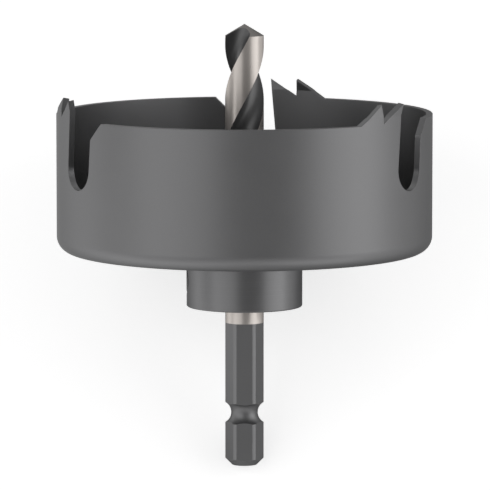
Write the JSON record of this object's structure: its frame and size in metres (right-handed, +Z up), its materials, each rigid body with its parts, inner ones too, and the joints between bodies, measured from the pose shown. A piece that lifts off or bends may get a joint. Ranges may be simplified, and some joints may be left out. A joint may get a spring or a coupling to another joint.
{
  "type": "hole saw",
  "caption": "Hole saw: a drawn steel cup with set teeth and gullets, a turned hub, and a pilot drill with a hexagon quick-change shank.",
  "frame": {"origin": "on the bench, under the middle of the laid tool's bounding box", "axes": "+Z up; the tool's axis leans 37.5 degrees from the bench in the YZ plane, with the pilot drill's point up and towards +Y; +X to the right seen from the shank's end"},
  "size_m": [0.068, 0.0758, 0.068],
  "materials": {
    "coated_cup": "satin dark grey coat on steel",
    "coated_hub": "satin dark grey coat on turned steel",
    "drill_steel": "ground bright lands, black flutes and a dark grey shank",
    "screw_steel": "black oxide"
  },
  "bodies": {
    "root": {"cup": "coated_cup", "hub": "coated_hub", "pilot_drill": "drill_steel", "grub_screw": "screw_steel"}
  },
  "joints": []
}
